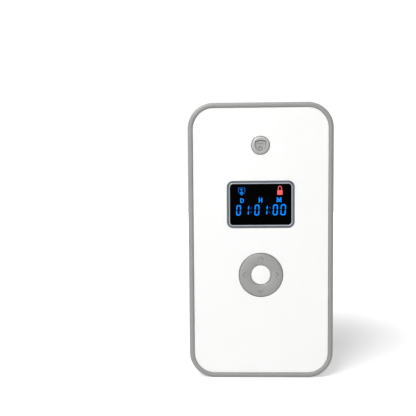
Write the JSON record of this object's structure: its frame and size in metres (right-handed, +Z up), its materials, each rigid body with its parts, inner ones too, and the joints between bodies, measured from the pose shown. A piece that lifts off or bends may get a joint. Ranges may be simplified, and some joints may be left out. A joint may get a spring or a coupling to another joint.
{
  "type": "timed lock container",
  "caption": "Upright box the size of a phone, with a lit timer display, round keys and a grey bead on its face; the face is a side-hinged lid that a motor latches shut.",
  "frame": {"origin": "middle of the end that the box stands on, at the centre of its footprint", "axes": "+Z up the long side, the face with the display towards -Y, +X to the right of someone who reads the display"},
  "size_m": [0.107, 0.058, 0.2048],
  "materials": {
    "shell_white": "fine satin moulding",
    "face_white": "smooth gloss",
    "bead_grey": "satin",
    "bezel_grey": "satin",
    "control_grey": "satin, metallic lacquer",
    "display_black": "polished",
    "lit_blue": "lit",
    "lit_red": "lit",
    "module_black": "matt",
    "board_green": "solder mask",
    "chip_black": "matt",
    "steel": "zinc plated",
    "gear_brass": "machined",
    "foil": "matt foil",
    "acetal": "natural acetal",
    "guide_black": "matt",
    "rocker_rubber": "silicone",
    "foot_rubber": "matt",
    "foam_grey": "closed-cell foam",
    "wire": "insulation"
  },
  "bodies": {
    "base": {"base_tub": "shell_white", "hinge_pin": "steel", "strike_plates": "steel", "strike_screws": "steel", "cavity_pad": "foam_grey", "rubber_feet": "foot_rubber"},
    "lid": {"lid_shell": "shell_white", "face_plate": "face_white", "trim_bead": "bead_grey", "display_bezel": "bezel_grey", "display_glass": "display_black", "lit_segments": "lit_blue", "lit_padlock": "lit_red", "display_module": "module_black", "main_board": "board_green", "board_components": "chip_black", "tact_switches": "chip_black", "usb_port": "steel", "buzzer": "chip_black", "board_screws": "steel", "battery_cell": "foil", "battery_leads": "wire", "motor_can": "steel", "gearbox": "gear_brass", "motor_clamp": "steel", "clamp_screws": "steel", "motor_leads": "wire", "latch_guides": "guide_black", "latch_switch": "chip_black", "inner_cover": "shell_white", "cover_screws": "steel"},
    "mode_key": {"mode_button": "control_grey"},
    "centre_key": {"centre_button": "face_white"},
    "nav_rocker": {"nav_rocker_plate": "rocker_rubber"},
    "nav_pad": {"nav_ring": "control_grey"},
    "latch": {"latch_bar": "steel", "latch_hooks": "steel"},
    "drive": {"motor_shaft": "steel", "drive_pinion": "acetal"}
  },
  "joints": [
    {"name": "lid_hinge", "type": "hinge", "parent": "base", "child": "lid", "pos_m": [-0.0503, -0.005, 0.1024], "axis": [0, 0, -1], "range_deg": [0, 95]},
    {"name": "latch_slide", "type": "slide", "parent": "lid", "child": "latch", "axis": [0, 0, 1], "range_m": [0, 0.005]},
    {"name": "pinion_spin", "type": "hinge", "parent": "lid", "child": "drive", "pos_m": [0.043, -0.0174, 0.038], "axis": [1, 0, 0], "range_deg": [0, 72]},
    {"name": "mode_press", "type": "slide", "parent": "lid", "child": "mode_key", "axis": [0, 1, 0], "range_m": [0, 0.0005], "stiffness_N_per_m": 800, "springref_m": -0.0004},
    {"name": "centre_press", "type": "slide", "parent": "lid", "child": "centre_key", "axis": [0, 1, 0], "range_m": [0, 0.0005], "stiffness_N_per_m": 800, "springref_m": -0.0004},
    {"name": "nav_tilt_side", "type": "hinge", "parent": "lid", "child": "nav_rocker", "pos_m": [0, -0.02665, 0.0776], "axis": [0, 0, 1], "range_deg": [-1.8, 1.8], "stiffness_Nm_per_rad": 0.6},
    {"name": "nav_tilt_updown", "type": "hinge", "parent": "nav_rocker", "child": "nav_pad", "pos_m": [0, -0.02665, 0.0776], "axis": [1, 0, 0], "range_deg": [-1.8, 1.8], "stiffness_Nm_per_rad": 0.6}
  ],
  "couplings": [
    {"joint": "pinion_spin", "follows": "latch_slide", "rad_per_m": 250}
  ]
}
